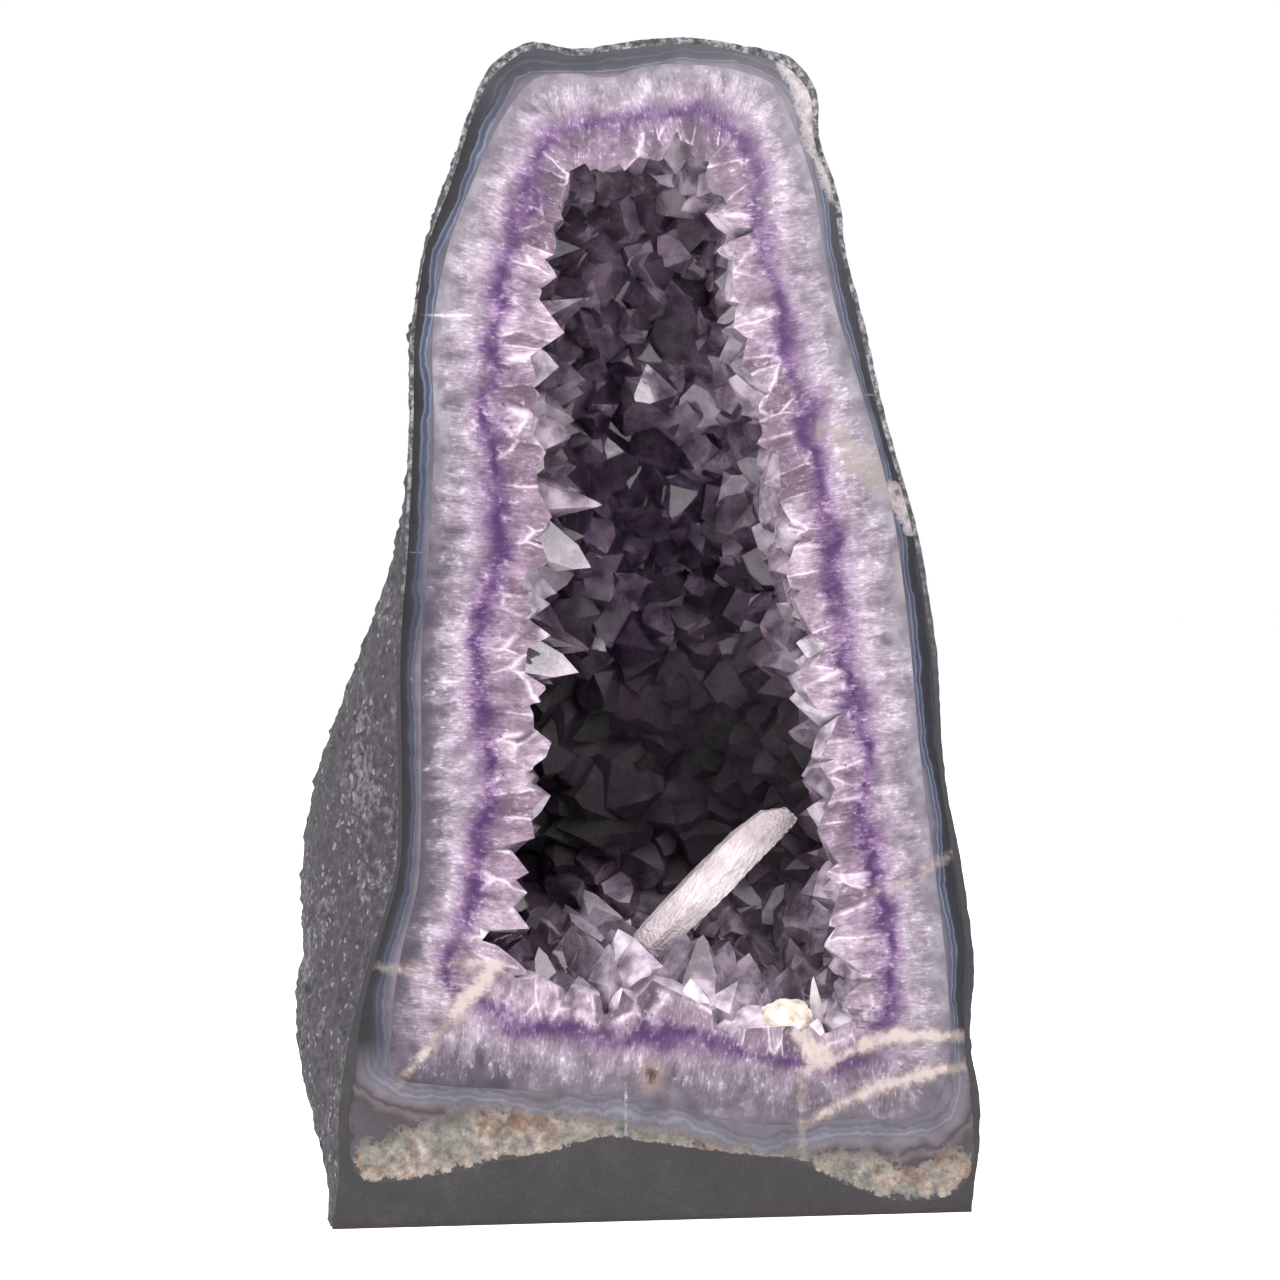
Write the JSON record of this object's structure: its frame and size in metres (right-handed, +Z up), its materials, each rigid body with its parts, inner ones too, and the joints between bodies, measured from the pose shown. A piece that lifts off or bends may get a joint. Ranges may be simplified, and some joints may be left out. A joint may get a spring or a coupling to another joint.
{
  "type": "amethyst geode",
  "caption": "Tall stone half-shell sawn open down its length, with an agate rind, a crystal-lined hollow and a cast cement back and flat foot.",
  "frame": {"origin": "middle of the bounding box, on the base", "axes": "+Z up the geode; the sawn face looks along -Y and leans back by 5 degrees; +X to the viewer's right"},
  "size_m": [0.2298, 0.1532, 0.4015],
  "materials": {
    "cement": "rough cast cement over the back, sawn smooth at the face",
    "agate": "sawn and polished, banded",
    "amethyst": "massive quartz polished at the face, natural glossy crystal faces inside",
    "calcite": "sugary crust",
    "cream_calcite": "dull, grainy"
  },
  "bodies": {
    "root": {"cement_jacket": "cement", "agate_rind": "agate", "amethyst_lining": "amethyst", "calcite_blade": "calcite", "cream_calcite": "cream_calcite"}
  },
  "joints": []
}
